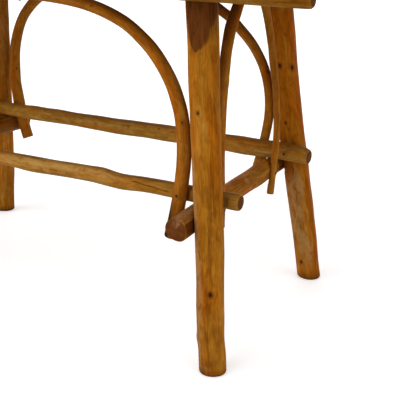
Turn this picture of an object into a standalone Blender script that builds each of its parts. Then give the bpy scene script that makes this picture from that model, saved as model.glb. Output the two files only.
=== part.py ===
"""Rustic center table of peeled poles.

Four splayed legs stand round two pairs of stretchers that are laid as a hash. A bent
twig arch rises on each of the four sides, two top rails lie in hewn facets of the legs,
and a plank top rests on the rails. Every crossing is flattened and nailed.

X runs along the table, Y across it and Z up. The origin is on the floor, in the middle.
"""

import math

import bmesh
import bpy
from mathutils import Matrix, Vector
from mathutils.geometry import intersect_line_line

# Fits, in metres like every size below
CLEARANCE = 0.0003
SEAT_DEPTH = 0.0025
NOTCH_MARGIN = 0.003
CUTTER_REACH = 0.03

# Plank top
TOP_HEIGHT = 0.752
TOP_LENGTH = 1.32
TOP_WIDTH = 0.62
BOARD_THICKNESS = 0.024
BOARD_COUNT = 9
BOARD_GAP = 0.002
BOARD_ROUNDING = 0.004

# Legs, whose lean is the way inward for each metre of height
FOOT_HALF_LENGTH = 0.497
FOOT_HALF_WIDTH = 0.2715
LEG_LEAN_LENGTH = 0.1327
LEG_LEAN_WIDTH = 0.1303
LEG_FOOT_RADIUS = 0.0275
LEG_TOP_RADIUS = 0.0312
LEG_BOW = 0.002
RAIL_FACET_LENGTH = 0.127
RAIL_FACET_DEPTH = 0.017
LEG_PLACES = {
    "front_right": (1, -1),
    "back_right": (1, 1),
    "back_left": (-1, 1),
    "front_left": (-1, -1),
}
LEG_GIRTHS = {"front_right": 0.97, "back_right": 1.05, "back_left": 1.0, "front_left": 1.02}

# Top rails
RAIL_LENGTH = 1.264
RAIL_RADIUS = 0.016
RAIL_PLANED_DEPTH = 0.002

# Long stretchers, which lie on the short ones
FRONT_STRETCHER_HEIGHT = 0.326
BACK_STRETCHER_HEIGHT = 0.339
FRONT_STRETCHER_RADIUS = 0.016
BACK_STRETCHER_RADIUS = 0.0192
FRONT_STRETCHER_RISE = 0.0015
BACK_STRETCHER_RISE = -0.001
LONG_STRETCHER_LENGTH = 1.014
LONG_STRETCHER_TAPER = 0.06
CROSSING_DEPTH = 0.0005

# Short stretchers, with hewn ends
RIGHT_STRETCHER_FRONT_RADIUS = 0.0232
RIGHT_STRETCHER_BACK_RADIUS = 0.0208
LEFT_STRETCHER_FRONT_RADIUS = 0.0235
LEFT_STRETCHER_BACK_RADIUS = 0.0275
RIGHT_LEG_SEAT_DEPTH = 0.003
LEFT_LEG_SEAT_DEPTH = 0.001
SHORT_STRETCHER_LENGTH = 0.536
RIGHT_STRETCHER_OVERHANG = 0.014
SHORT_STRETCHER_RISE = 0.004
HEWN_END_LENGTH = 0.06
HEWN_END_DEPTH = 0.005
LEG_FLAT_MARGIN = 0.02
END_EASE = 0.004

# Long arches, each thinner at one foot than at the other
FRONT_ARCH_RIGHT_RADIUS = 0.0143
FRONT_ARCH_LEFT_RADIUS = 0.0115
FRONT_ARCH_SPREAD = 0.39
FRONT_ARCH_FULLNESS = 2.6
FRONT_ARCH_WIDEST = 0.39
FRONT_ARCH_FOOT_HEIGHT = 0.237
FRONT_ARCH_FOOT_INSET = 0.0012
BACK_ARCH_RIGHT_RADIUS = 0.0112
BACK_ARCH_LEFT_RADIUS = 0.015
BACK_ARCH_RIGHT_SPREAD = 0.387
BACK_ARCH_LEFT_SPREAD = 0.381
BACK_ARCH_RIGHT_FULLNESS = 2.4
BACK_ARCH_LEFT_FULLNESS = 3.1
BACK_ARCH_WIDEST = 0.41
BACK_ARCH_FOOT_HEIGHT = 0.258
BACK_ARCH_RIGHT_FOOT_INSET = 0.0135
BACK_ARCH_LEFT_FOOT_INSET = 0.0065

# Short arches
SHORT_ARCH_FRONT_RADIUS = 0.0112
SHORT_ARCH_BACK_RADIUS = 0.0078
SHORT_ARCH_FRONT_SPREAD = 0.151
SHORT_ARCH_BACK_SPREAD = 0.142
SHORT_ARCH_WIDEST = 0.4
SHORT_ARCH_FOOT_HEIGHT = 0.25
SHORT_ARCH_FRONT_FOOT_INSET = 0.0135
SHORT_ARCH_BACK_FOOT_INSET = 0.0183
SHORT_ARCH_FRONT_FULLNESS = 2.0
SHORT_ARCH_BACK_FULLNESS = 1.6
SHORT_ARCH_LEAN = 0.014

# All arches
FOOT_DRAW = 1.6
CROWN_FLAT_DEPTH = 0.004
CROWN_FLAT_LENGTH = 0.36

# Nails
NAIL_RADIUS = 0.0017
NAIL_HEAD_RADIUS = 0.0042
NAIL_HEAD_HEIGHT = 0.0014
NAIL_POINT = 0.005
POLE_NAIL_BITE = 0.024
TWIG_NAIL_BITE = 0.016

# Facets of the round pieces
LEG_SIDES = 16
STRETCHER_SIDES = 14
ARCH_SIDES = 10
RAIL_SIDES = 14
NAIL_SIDES = 8
POLE_RINGS = 11
ARCH_STEPS = 15
FOOT_STEPS = 5

LENGTHWISE = Vector((1.0, 0.0, 0.0))
CROSSWISE = Vector((0.0, 1.0, 0.0))
UPWARD = Vector((0.0, 0.0, 1.0))
UNDERSIDE = TOP_HEIGHT - BOARD_THICKNESS


class Spot:
    """One place on a round piece: its axis point, the axis direction and the radius there."""

    def __init__(self, piece, centre, direction, radius):
        self.piece = piece
        self.centre = centre
        self.direction = direction.normalized()
        self.radius = radius


class Pole:
    """A nearly straight pole: its girth changes evenly and its axis bows a little."""

    def __init__(self, start, end, start_radius, end_radius, bow):
        self.start = start
        self.end = end
        self.start_radius = start_radius
        self.end_radius = end_radius
        self.bow = bow
        self.piece = None

    def centre(self, share):
        return self.start.lerp(self.end, share) + self.bow * math.sin(math.pi * share) ** 2

    def radius(self, share):
        return self.start_radius + (self.end_radius - self.start_radius) * share

    def spot_near(self, point):
        way = self.end - self.start
        share = (point - self.start).dot(way) / way.length_squared
        return Spot(self.piece, self.centre(share), way, self.radius(share))

    def build(self, name, sides, material, ease=0.0):
        """Solid of the pole. ease is the width of the chamfers round its ends."""
        inset = ease / (self.end - self.start).length
        shares = [inset + (1 - 2 * inset) * ring / (POLE_RINGS - 1) for ring in range(POLE_RINGS)]
        points = [self.centre(share) for share in shares]
        radii = [self.radius(share) for share in shares]
        if ease:
            points = [self.centre(0.0), *points, self.centre(1.0)]
            radii = [self.radius(0.0) - ease, *radii, self.radius(1.0) - ease]
        self.piece = swept_piece(name, points, radii, sides, material)
        return self.piece


class Arch:
    """A twig bent to an upright arch: a superellipse above its widest height, drawn in below.

    place(across, height) gives the point of the arch's leaning plane. halves holds the spread,
    the fullness and the foot radius of either side. necks holds the height of the pole that
    each limb passes inside of and the limb's reach there.
    """

    def __init__(self, place, halves, crown_radius, crown, widest, foot_height, necks):
        self.place = place
        self.halves = halves
        self.crown_radius = crown_radius
        self.crown = crown
        self.widest = widest
        self.foot_height = foot_height
        self.necks = necks
        self.piece = None

    def radius(self, side, reach):
        """The girth changes evenly with the reach to either side."""
        spread, fullness, foot_radius = self.halves[side]
        return self.crown_radius + (foot_radius - self.crown_radius) * min(reach / spread, 1.0)

    def limb_reach(self, side, height):
        """Way of one limb's axis from the middle, below the widest height."""
        spread, fullness, foot_radius = self.halves[side]
        neck_height, neck_reach = self.necks[side]
        drop = max((self.widest - height) / (self.widest - neck_height), 0.0)
        return spread - (spread - neck_reach) * drop ** FOOT_DRAW

    def half_path(self, side):
        """Axis points and radii of one half, from beside the crown down to the foot."""
        spread, fullness, foot_radius = self.halves[side]
        path = []
        for step in range(1, ARCH_STEPS + 1):
            turn = math.pi / 2 * step / ARCH_STEPS
            rise = max(math.cos(turn), 0.0) ** (2 / fullness)
            height = self.widest + (self.crown - self.widest) * rise
            path.append((spread * math.sin(turn) ** (2 / fullness), height))
        for step in range(1, FOOT_STEPS + 1):
            height = self.widest - (self.widest - self.foot_height) * step / FOOT_STEPS
            path.append((self.limb_reach(side, height), height))
        points = [self.place(side * reach, height) for reach, height in path]
        return points, [self.radius(side, reach) for reach, height in path]

    def spot_at(self, side, height):
        """The place on one limb, below the widest height."""
        reach = self.limb_reach(side, height)
        radius = self.radius(side, reach)
        centre = self.place(side * reach, height)
        above = self.place(side * self.limb_reach(side, height + radius / 2), height + radius / 2)
        return Spot(self.piece, centre, above - centre, radius)

    def crown_spot(self):
        way = self.place(1.0, self.crown) - self.place(0.0, self.crown)
        return Spot(self.piece, self.place(0.0, self.crown), way, self.crown_radius)

    def build(self, name, material):
        left_points, left_radii = self.half_path(-1)
        right_points, right_radii = self.half_path(1)
        points = left_points[::-1] + [self.place(0.0, self.crown)] + right_points
        radii = left_radii[::-1] + [self.crown_radius] + right_radii
        self.piece = swept_piece(name, points, radii, ARCH_SIDES, material)
        return self.piece


def clear_scene():
    for thing in list(bpy.data.objects):
        bpy.data.objects.remove(thing)


def new_collection(name):
    collection = bpy.data.collections.new(name)
    bpy.context.scene.collection.children.link(collection)
    return collection


def plain_material(name, colour, roughness, metallic=0.0):
    material = bpy.data.materials.new(name)
    material.use_nodes = True
    shader = material.node_tree.nodes["Principled BSDF"]
    shader.inputs["Base Color"].default_value = (*colour, 1.0)
    shader.inputs["Roughness"].default_value = roughness
    shader.inputs["Metallic"].default_value = metallic
    return material


def add_piece(name, mesh, material):
    piece = bpy.data.objects.new(name, mesh)
    mesh.materials.clear()
    mesh.materials.append(material)
    table.objects.link(piece)
    return piece


def add_cutter(name, mesh):
    cutter = bpy.data.objects.new(name, mesh)
    cutter.hide_render = True
    cutter.display_type = "WIRE"
    cutters.objects.link(cutter)
    return cutter


def swept_piece(name, points, radii, sides, material):
    """Closed round piece swept along points, made from a bevelled curve."""
    curve = bpy.data.curves.new(name, "CURVE")
    curve.dimensions = "3D"
    curve.bevel_depth = 1.0
    curve.bevel_resolution = sides // 2 - 2
    curve.use_fill_caps = True
    spline = curve.splines.new("POLY")
    spline.points.add(len(points) - 1)
    for knot, point, radius in zip(spline.points, points, radii):
        knot.co = (*point, 1.0)
        knot.radius = radius
    carrier = bpy.data.objects.new(name + "_path", curve)
    table.objects.link(carrier)
    bpy.context.view_layer.update()
    evaluated = carrier.evaluated_get(bpy.context.evaluated_depsgraph_get())
    mesh = bpy.data.meshes.new_from_object(evaluated)
    mesh.name = name
    shape = bmesh.new()
    shape.from_mesh(mesh)
    bmesh.ops.remove_doubles(shape, verts=shape.verts, dist=0.00001)
    bmesh.ops.recalc_face_normals(shape, faces=shape.faces)
    shape.to_mesh(mesh)
    shape.free()
    mesh.shade_smooth()
    mesh.set_sharp_from_angle(angle=math.radians(40))
    piece = add_piece(name, mesh, material)
    piece.matrix_world = carrier.matrix_world
    bpy.data.objects.remove(carrier)
    return piece


def frame_matrix(centre, along, up):
    side = up.cross(along).normalized()
    turn = Matrix((along.normalized(), side, up.normalized())).transposed()
    return Matrix.Translation(centre) @ turn.to_4x4()


def box_cutter(name, centre, along, up, half_sizes):
    """Box whose own X and Z axes lie along two square directions."""
    mesh = bpy.data.meshes.new(name)
    shape = bmesh.new()
    bmesh.ops.create_cube(shape, size=2.0)
    bmesh.ops.scale(shape, vec=Vector(half_sizes), verts=shape.verts)
    shape.to_mesh(mesh)
    shape.free()
    cutter = add_cutter(name, mesh)
    cutter.matrix_world = frame_matrix(centre, along, up)
    return cutter


def cut(piece, cutter):
    modifier = piece.modifiers.new(cutter.name, "BOOLEAN")
    modifier.operation = "DIFFERENCE"
    modifier.solver = "EXACT"
    modifier.object = cutter


def flatten(spot, point, outward, half_length):
    """Flat on a round piece: takes away what lies past a plane, over a stretch of the piece."""
    along = (spot.direction - outward * spot.direction.dot(outward)).normalized()
    half_sizes = (half_length, spot.radius + CUTTER_REACH, CUTTER_REACH)
    name = f"{spot.piece.name}_flat_{len(spot.piece.modifiers)}"
    cut(spot.piece, box_cutter(name, point + outward * CUTTER_REACH, along, outward, half_sizes))


def seat(first, second, first_margin=NOTCH_MARGIN, second_margin=NOTCH_MARGIN):
    """Flattens two crossing pieces where they meet. Returns the meeting point and direction."""
    gap = second.centre - first.centre
    towards = gap.normalized()
    depth = first.radius + second.radius - gap.length
    point = first.centre + towards * (first.radius - depth / 2)
    half_gap = towards * (CLEARANCE / 2)
    flatten(first, point - half_gap, towards, second.radius + first_margin)
    flatten(second, point + half_gap, -towards, first.radius + second_margin)
    return point, towards


def crossing(first, second):
    """Spots where the axes of two straight poles pass closest to each other."""
    on_first, on_second = intersect_line_line(first.start, first.end, second.start, second.end)
    return first.spot_near(on_first), second.spot_near(on_second)


def seat_distance(first_radius, second_radius, depth=SEAT_DEPTH):
    """Axis distance of two round pieces whose flats meet with the clearance between them."""
    return first_radius + second_radius - 2 * depth + CLEARANCE


def lathe_mesh(name, profile):
    """Profile of radius and height, from the top of the axis down the outer side."""
    mesh = bpy.data.meshes.new(name)
    points = [(radius, 0.0, height) for radius, height in profile]
    edges = [(index, index + 1) for index in range(len(points) - 1)]
    mesh.from_pydata(points, edges, [])
    return mesh


def turn_profile(piece):
    modifier = piece.modifiers.new("turned", "SCREW")
    modifier.steps = NAIL_SIDES
    modifier.render_steps = NAIL_SIDES
    modifier.use_merge_vertices = True
    modifier.merge_threshold = 0.00001
    modifier.use_smooth_shade = False


def nail_profile(length, head_top, room):
    """Outline of a nail whose head bears at height 0. room widens it to the nail's hole."""
    tip = -length - room
    return [
        (0.0, head_top),
        (NAIL_HEAD_RADIUS + room, head_top),
        (NAIL_HEAD_RADIUS + room, -room),
        (NAIL_RADIUS + room, -room),
        (NAIL_RADIUS + room, tip + NAIL_POINT),
        (0.0, tip),
    ]


def nail(name, meeting, through, into, bite):
    """Nail through one seated piece into the other, with its head let into the first."""
    point, direction = meeting
    grip = (point - through.centre).dot(direction) + through.radius - NAIL_HEAD_HEIGHT
    placing = frame_matrix(point - direction * grip, direction.orthogonal(), -direction)
    outline = nail_profile(grip + bite, NAIL_HEAD_HEIGHT, 0.0)
    driven = add_piece(name, lathe_mesh(name, outline), iron)
    turn_profile(driven)
    driven.matrix_world = placing
    hole_name = name + "_hole"
    outline = nail_profile(grip + bite, NAIL_HEAD_HEIGHT + CUTTER_REACH, CLEARANCE)
    hole = add_cutter(hole_name, lathe_mesh(hole_name, outline))
    turn_profile(hole)
    hole.matrix_world = placing
    cut(through.piece, hole)
    cut(into.piece, hole)


def leg_axis(place, height):
    along, across = place
    return Vector((
        along * (FOOT_HALF_LENGTH - LEG_LEAN_LENGTH * height),
        across * (FOOT_HALF_WIDTH - LEG_LEAN_WIDTH * height),
        height,
    ))


def make_leg(key):
    """Leg that runs past the floor and the top, and is then cut level with both."""
    place = LEG_PLACES[key]
    girth = LEG_GIRTHS[key]
    slope = (LEG_TOP_RADIUS - LEG_FOOT_RADIUS) / TOP_HEIGHT
    low = -CUTTER_REACH
    pole = Pole(
        leg_axis(place, low),
        leg_axis(place, TOP_HEIGHT),
        (LEG_FOOT_RADIUS + slope * low) * girth,
        LEG_TOP_RADIUS * girth,
        LENGTHWISE * (LEG_BOW * place[0]),
    )
    piece = pole.build("leg_" + key, LEG_SIDES, leg_wood)
    half_sizes = (3 * LEG_TOP_RADIUS, 3 * LEG_TOP_RADIUS, CUTTER_REACH)
    for end, height, way in (("sole", 0.0, -UPWARD), ("head", UNDERSIDE - CLEARANCE, UPWARD)):
        centre = leg_axis(place, height) + way * CUTTER_REACH
        cut(piece, box_cutter(f"{piece.name}_{end}", centre, LENGTHWISE, way, half_sizes))
    return pole


def hewn_facet(spot_deep, spot_runout, outward, depth):
    """Plane of a facet that is deep at one spot and runs out on the surface at another.

    Returns its deepest point, its direction up the facet and its outward normal.
    """
    deep = spot_deep.centre + outward * (spot_deep.radius - depth)
    runout = spot_runout.centre + outward * spot_runout.radius
    along = (deep - runout).normalized()
    normal = (outward - along * outward.dot(along)).normalized()
    return deep, along, normal


def rail_facet(leg, place):
    """Facet on a leg's outer face at the top, which a rail lies against."""
    head = leg.spot_near(leg_axis(place, UNDERSIDE))
    runout = leg.spot_near(head.centre - head.direction * RAIL_FACET_LENGTH)
    outward = CROSSWISE * place[1]
    outward = (outward - head.direction * outward.dot(head.direction)).normalized()
    return hewn_facet(head, runout, outward, RAIL_FACET_DEPTH)


def rail_axis(leg, place):
    """Axis point of a rail that bears against the leg's facet at the rail's height."""
    deep, along, normal = rail_facet(leg, place)
    stand_off = normal * (RAIL_RADIUS - SEAT_DEPTH + CLEARANCE)
    height = UNDERSIDE - CLEARANCE - RAIL_RADIUS + RAIL_PLANED_DEPTH
    return deep + stand_off + along * ((height - deep.z - stand_off.z) / along.z)


def make_rail(name, right_key, left_key):
    """Top rail between two legs, planed on top for the boards and seated on both facets."""
    ends = [rail_axis(legs[key], LEG_PLACES[key]) for key in (left_key, right_key)]
    middle = (ends[0] + ends[1]) / 2
    way = (ends[1] - ends[0]).normalized()
    half = way * (RAIL_LENGTH / 2)
    rail = Pole(middle - half, middle + half, RAIL_RADIUS, RAIL_RADIUS, Vector())
    piece = rail.build(name, RAIL_SIDES, rail_wood, END_EASE)
    planed = Spot(piece, middle, way, RAIL_RADIUS)
    top = Vector((middle.x, middle.y, UNDERSIDE - CLEARANCE))
    flatten(planed, top, UPWARD, RAIL_LENGTH)
    for key, end in zip((left_key, right_key), ends):
        leg = legs[key]
        deep, along, normal = rail_facet(leg, LEG_PLACES[key])
        leg_spot = leg.spot_near(deep)
        length = RAIL_FACET_LENGTH + LEG_TOP_RADIUS
        flatten(Spot(leg.piece, deep, along, leg_spot.radius), deep, normal, length)
        bearing = end - normal * (RAIL_RADIUS - SEAT_DEPTH)
        rail_spot = Spot(piece, end, way, RAIL_RADIUS)
        flatten(rail_spot, bearing, -normal, leg_spot.radius + NOTCH_MARGIN)
        nail(f"nail_rail_{key}", (bearing, -normal), rail_spot, leg_spot, POLE_NAIL_BITE)
    return rail


def make_long_stretcher(name, right_key, left_key, height, radius, rise):
    """Long stretcher on the inner sides of two legs."""
    ends = []
    for key in (left_key, right_key):
        place = LEG_PLACES[key]
        spot = legs[key].spot_near(leg_axis(place, height))
        inward = CROSSWISE * -place[1]
        ends.append(leg_axis(place, height) + inward * seat_distance(spot.radius, radius))
    middle = (ends[0] + ends[1]) / 2
    half = (ends[1] - ends[0]).normalized() * (LONG_STRETCHER_LENGTH / 2)
    taper = radius * LONG_STRETCHER_TAPER
    radii = (radius - taper, radius + taper)
    stretcher = Pole(middle - half, middle + half, *radii, UPWARD * rise)
    stretcher.build(name, STRETCHER_SIDES, stretcher_wood, END_EASE)
    return stretcher


def make_short_stretcher(name, front_key, back_key, radii, leg_depth, overhang):
    """Short stretcher under both long ones and on the inner sides of two legs.

    overhang is how much farther it reaches at the front than at the back.
    """
    front_reach = SHORT_STRETCHER_LENGTH / 2 + overhang
    length = SHORT_STRETCHER_LENGTH + overhang
    side = LEG_PLACES[front_key][0]
    points = []
    for key, long_stretcher in ((front_key, front_stretcher), (back_key, back_stretcher)):
        upper = long_stretcher.spot_near(leg_axis(LEG_PLACES[key], long_stretcher.start.z))
        share = (front_reach + upper.centre.y) / length
        radius = radii[0] + (radii[1] - radii[0]) * share
        height = upper.centre.z - seat_distance(upper.radius, radius, CROSSING_DEPTH)
        leg = legs[key].spot_near(leg_axis(LEG_PLACES[key], height))
        along = leg.centre.x - side * seat_distance(leg.radius, radius, leg_depth)
        risen = SHORT_STRETCHER_RISE * math.sin(math.pi * share) ** 2
        points.append(Vector((along, upper.centre.y, height - risen)))
    way = (points[1] - points[0]).normalized()
    start = (points[0] + points[1]) / 2 - way * front_reach
    stretcher = Pole(start, start + way * length, *radii, UPWARD * SHORT_STRETCHER_RISE)
    stretcher.build(name, STRETCHER_SIDES, stretcher_wood, END_EASE)
    return stretcher


def hew_ends(stretcher):
    """Axe flats on the upper side of both ends of a short stretcher."""
    for end, inner in ((stretcher.start, stretcher.end), (stretcher.end, stretcher.start)):
        way = (inner - end).normalized()
        deep = stretcher.spot_near(end)
        runout = stretcher.spot_near(end + way * HEWN_END_LENGTH)
        square = (UPWARD - way * UPWARD.dot(way)).normalized()
        point, along, normal = hewn_facet(deep, runout, square, HEWN_END_DEPTH)
        facet = Spot(stretcher.piece, point, along, deep.radius)
        flatten(facet, point, normal, HEWN_END_LENGTH)


def join_stretchers():
    """Seats and nails of the four crossings and of the eight places on the legs."""
    for long_name, long_stretcher in (("front", front_stretcher), ("back", back_stretcher)):
        for short_name, short_stretcher in (("right", right_stretcher), ("left", left_stretcher)):
            corner = f"{long_name}_{short_name}"
            leg = legs[corner]
            upper, lower = crossing(long_stretcher, short_stretcher)
            meeting = seat(upper, lower)
            nail(f"nail_crossing_{corner}", meeting, upper, lower, POLE_NAIL_BITE)
            inner, outer = crossing(long_stretcher, leg)
            meeting = seat(inner, outer)
            nail(f"nail_long_stretcher_{corner}", meeting, inner, outer, POLE_NAIL_BITE)
            inner, outer = crossing(short_stretcher, leg)
            meeting = seat(inner, outer, LEG_FLAT_MARGIN)
            nail(f"nail_short_stretcher_{corner}", meeting, inner, outer, POLE_NAIL_BITE)


def make_long_arch(label, stretcher, rail, outward, halves, heights, foot_insets):
    """Arch on the outer side of a long stretcher, with its crown under the rail."""
    widest, foot_height = heights
    crown_radius = (halves[1][2] + halves[-1][2]) / 2
    hold = stretcher.spot_near(Vector())
    rail_spot = rail.spot_near(Vector((0.0, rail.start.y, rail.start.z)))
    hold_depth = hold.centre.y + outward * seat_distance(hold.radius, crown_radius)
    rail_bottom = rail_spot.centre - UPWARD * (RAIL_RADIUS + CLEARANCE)
    crown = rail_bottom.z - crown_radius + CROWN_FLAT_DEPTH
    slope = (rail_spot.centre.y - hold_depth) / (crown - hold.centre.z)

    def place(across, height):
        return Vector((across, hold_depth + slope * (height - hold.centre.z), height))

    necks = {}
    for side, short_stretcher in ((1, right_stretcher), (-1, left_stretcher)):
        beside = short_stretcher.spot_near(CROSSWISE * hold_depth)
        reach = abs(beside.centre.x) - beside.radius - halves[side][2] - foot_insets[side]
        necks[side] = (beside.centre.z, reach)
    arch = Arch(place, halves, crown_radius, crown, widest, foot_height, necks)
    arch.build("long_arch_" + label, twig_wood)
    for side_name, side in (("right", 1), ("left", -1)):
        limb = arch.spot_at(side, hold.centre.z)
        pole_spot = stretcher.spot_near(limb.centre)
        meeting = seat(limb, pole_spot)
        nail(f"nail_long_arch_{label}_{side_name}", meeting, limb, pole_spot, TWIG_NAIL_BITE)
    crown_spot = arch.crown_spot()
    flatten(crown_spot, rail_bottom, UPWARD, CROWN_FLAT_LENGTH / 2)
    crown_nail = f"nail_long_arch_{label}_crown"
    nail(crown_nail, (rail_bottom, UPWARD), crown_spot, rail_spot, TWIG_NAIL_BITE)
    return arch


def make_short_arch(label, stretcher, side):
    """Arch on the outer side of a short stretcher, with its crown under the boards."""
    crown_radius = (SHORT_ARCH_FRONT_RADIUS + SHORT_ARCH_BACK_RADIUS) / 2
    halves = {
        -1: (SHORT_ARCH_FRONT_SPREAD, SHORT_ARCH_FRONT_FULLNESS, SHORT_ARCH_FRONT_RADIUS),
        1: (SHORT_ARCH_BACK_SPREAD, SHORT_ARCH_BACK_FULLNESS, SHORT_ARCH_BACK_RADIUS),
    }
    foot_insets = {-1: SHORT_ARCH_FRONT_FOOT_INSET, 1: SHORT_ARCH_BACK_FOOT_INSET}
    hold = stretcher.spot_near(Vector())
    hold_depth = hold.centre.x + side * seat_distance(hold.radius, crown_radius)
    crown = UNDERSIDE - CLEARANCE - crown_radius + CROWN_FLAT_DEPTH
    slope = -side * SHORT_ARCH_LEAN / (crown - hold.centre.z)

    def place(across, height):
        return Vector((hold_depth + slope * (height - hold.centre.z), across, height))

    necks = {}
    for end, long_stretcher in ((-1, front_stretcher), (1, back_stretcher)):
        beside = long_stretcher.spot_near(hold.centre)
        reach = abs(beside.centre.y) - beside.radius - halves[end][2] - foot_insets[end]
        necks[end] = (beside.centre.z, reach)
    heights = (crown, SHORT_ARCH_WIDEST, SHORT_ARCH_FOOT_HEIGHT)
    arch = Arch(place, halves, crown_radius, *heights, necks)
    arch.build("short_arch_" + label, twig_wood)
    for end_name, end in (("front", -1), ("back", 1)):
        pole_spot = stretcher.spot_near(CROSSWISE * (end * halves[end][0]))
        limb = arch.spot_at(end, pole_spot.centre.z)
        pole_spot = stretcher.spot_near(limb.centre)
        meeting = seat(limb, pole_spot)
        nail(f"nail_short_arch_{label}_{end_name}", meeting, limb, pole_spot, TWIG_NAIL_BITE)
    crown_spot = arch.crown_spot()
    bearing = Vector((crown_spot.centre.x, crown_spot.centre.y, UNDERSIDE - CLEARANCE))
    flatten(crown_spot, bearing, UPWARD, CROWN_FLAT_LENGTH / 2)
    board = min(boards, key=lambda plank: abs(plank.location.x - bearing.x))
    board_spot = Spot(board, bearing, CROSSWISE, BOARD_THICKNESS)
    nail(f"nail_short_arch_{label}_crown", (bearing, UPWARD), crown_spot, board_spot, TWIG_NAIL_BITE)
    return arch


def make_board(index):
    """Crosswise plank of the top, with eased edges."""
    pitch = (TOP_LENGTH + BOARD_GAP) / BOARD_COUNT
    mesh = bpy.data.meshes.new(f"top_board_{index + 1}")
    shape = bmesh.new()
    bmesh.ops.create_cube(shape, size=1.0)
    sizes = Vector((pitch - BOARD_GAP, TOP_WIDTH, BOARD_THICKNESS))
    bmesh.ops.scale(shape, vec=sizes, verts=shape.verts)
    shape.to_mesh(mesh)
    shape.free()
    board = add_piece(mesh.name, mesh, board_wood)
    along = (index - (BOARD_COUNT - 1) / 2) * pitch
    board.location = (along, 0.0, UNDERSIDE + BOARD_THICKNESS / 2)
    bevel = board.modifiers.new("eased_edges", "BEVEL")
    bevel.width = BOARD_ROUNDING
    bevel.segments = 2
    return board


clear_scene()
table = new_collection("center_table")
cutters = new_collection("cutters")

leg_wood = plain_material("leg_wood", (0.33, 0.145, 0.022), 0.42)
stretcher_wood = plain_material("stretcher_wood", (0.36, 0.17, 0.035), 0.45)
twig_wood = plain_material("twig_wood", (0.30, 0.12, 0.02), 0.45)
rail_wood = plain_material("rail_wood", (0.28, 0.11, 0.02), 0.45)
board_wood = plain_material("board_wood", (0.31, 0.13, 0.03), 0.4)
iron = plain_material("nail_iron", (0.05, 0.035, 0.03), 0.55, 0.8)

legs = {key: make_leg(key) for key in LEG_PLACES}
front_rail = make_rail("top_rail_front", "front_right", "front_left")
back_rail = make_rail("top_rail_back", "back_right", "back_left")
front_stretcher = make_long_stretcher(
    "long_stretcher_front", "front_right", "front_left",
    FRONT_STRETCHER_HEIGHT, FRONT_STRETCHER_RADIUS, FRONT_STRETCHER_RISE)
back_stretcher = make_long_stretcher(
    "long_stretcher_back", "back_right", "back_left",
    BACK_STRETCHER_HEIGHT, BACK_STRETCHER_RADIUS, BACK_STRETCHER_RISE)
right_stretcher = make_short_stretcher(
    "short_stretcher_right", "front_right", "back_right",
    (RIGHT_STRETCHER_FRONT_RADIUS, RIGHT_STRETCHER_BACK_RADIUS), RIGHT_LEG_SEAT_DEPTH,
    RIGHT_STRETCHER_OVERHANG)
left_stretcher = make_short_stretcher(
    "short_stretcher_left", "front_left", "back_left",
    (LEFT_STRETCHER_FRONT_RADIUS, LEFT_STRETCHER_BACK_RADIUS), LEFT_LEG_SEAT_DEPTH, 0.0)
join_stretchers()
hew_ends(right_stretcher)
hew_ends(left_stretcher)
boards = [make_board(index) for index in range(BOARD_COUNT)]
front_halves = {
    1: (FRONT_ARCH_SPREAD, FRONT_ARCH_FULLNESS, FRONT_ARCH_RIGHT_RADIUS),
    -1: (FRONT_ARCH_SPREAD, FRONT_ARCH_FULLNESS, FRONT_ARCH_LEFT_RADIUS),
}
back_halves = {
    1: (BACK_ARCH_RIGHT_SPREAD, BACK_ARCH_RIGHT_FULLNESS, BACK_ARCH_RIGHT_RADIUS),
    -1: (BACK_ARCH_LEFT_SPREAD, BACK_ARCH_LEFT_FULLNESS, BACK_ARCH_LEFT_RADIUS),
}
make_long_arch("front", front_stretcher, front_rail, -1, front_halves,
               (FRONT_ARCH_WIDEST, FRONT_ARCH_FOOT_HEIGHT),
               {1: FRONT_ARCH_FOOT_INSET, -1: FRONT_ARCH_FOOT_INSET})
make_long_arch("back", back_stretcher, back_rail, 1, back_halves,
               (BACK_ARCH_WIDEST, BACK_ARCH_FOOT_HEIGHT),
               {1: BACK_ARCH_RIGHT_FOOT_INSET, -1: BACK_ARCH_LEFT_FOOT_INSET})
make_short_arch("right", right_stretcher, 1)
make_short_arch("left", left_stretcher, -1)
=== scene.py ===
"""Looks of the rustic center table: peeled, varnished poles and twigs under a plank top.

Every pole, twig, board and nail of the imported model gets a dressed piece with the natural
form and finish of the real one, in the place that the construction gives it.
X runs along the table, Y across it and Z up. Sizes are in metres.
"""

import math

import bmesh
import bpy
import numpy as np
from mathutils import Matrix, Vector
from mathutils.geometry import intersect_line_line

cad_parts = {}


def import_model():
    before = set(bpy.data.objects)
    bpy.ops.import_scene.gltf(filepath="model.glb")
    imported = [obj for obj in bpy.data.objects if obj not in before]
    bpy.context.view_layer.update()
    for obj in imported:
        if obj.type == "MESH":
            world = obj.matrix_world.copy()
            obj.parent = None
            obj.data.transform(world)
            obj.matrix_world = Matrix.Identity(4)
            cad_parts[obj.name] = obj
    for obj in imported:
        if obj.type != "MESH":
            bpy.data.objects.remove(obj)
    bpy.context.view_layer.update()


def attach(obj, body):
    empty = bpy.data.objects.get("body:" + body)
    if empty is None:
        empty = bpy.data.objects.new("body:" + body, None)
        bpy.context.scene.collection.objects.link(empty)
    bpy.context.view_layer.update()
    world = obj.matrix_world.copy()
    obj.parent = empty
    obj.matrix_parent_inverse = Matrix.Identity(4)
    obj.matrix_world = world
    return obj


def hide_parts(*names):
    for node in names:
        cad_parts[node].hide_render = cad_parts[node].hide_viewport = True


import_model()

# Construction sizes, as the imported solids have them
CLEARANCE = 0.0003
SEAT_DEPTH = 0.0025
NOTCH_MARGIN = 0.003
CUTTER_REACH = 0.03
TOP_HEIGHT = 0.752
TOP_LENGTH = 1.32
TOP_WIDTH = 0.62
BOARD_THICKNESS = 0.024
BOARD_COUNT = 9
BOARD_GAP = 0.002
FOOT_HALF_LENGTH = 0.497
FOOT_HALF_WIDTH = 0.2715
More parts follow.
